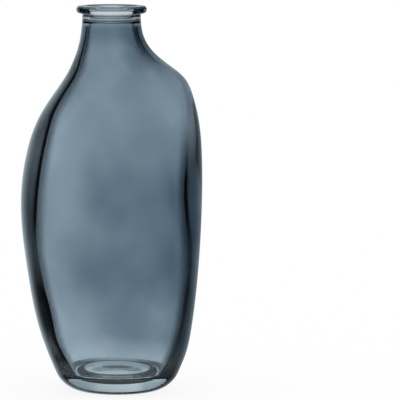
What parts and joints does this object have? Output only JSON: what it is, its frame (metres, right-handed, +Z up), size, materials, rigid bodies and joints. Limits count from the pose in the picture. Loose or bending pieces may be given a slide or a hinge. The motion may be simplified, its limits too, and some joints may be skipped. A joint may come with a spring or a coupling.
{
  "type": "bottle vase",
  "caption": "Tall bottle vase of thick blown glass: a lopsided rounded body with one high shoulder, a short narrow neck and a flat rounded lip, for standing stems in water.",
  "frame": {"origin": "on the axis of the neck, at the flat ring that the vase stands on; this is also the middle of the vase's own box", "axes": "+Z up along the neck, +X towards the high shoulder, +Y away from the viewer of the picture"},
  "size_m": [0.1318, 0.1316, 0.28],
  "materials": {
    "tinted_glass": "gloss"
  },
  "bodies": {
    "root": {"lip": "tinted_glass", "collar": "tinted_glass", "neck": "tinted_glass", "shoulder": "tinted_glass", "upper_body": "tinted_glass", "lower_body": "tinted_glass", "heel": "tinted_glass", "base": "tinted_glass"}
  },
  "joints": []
}
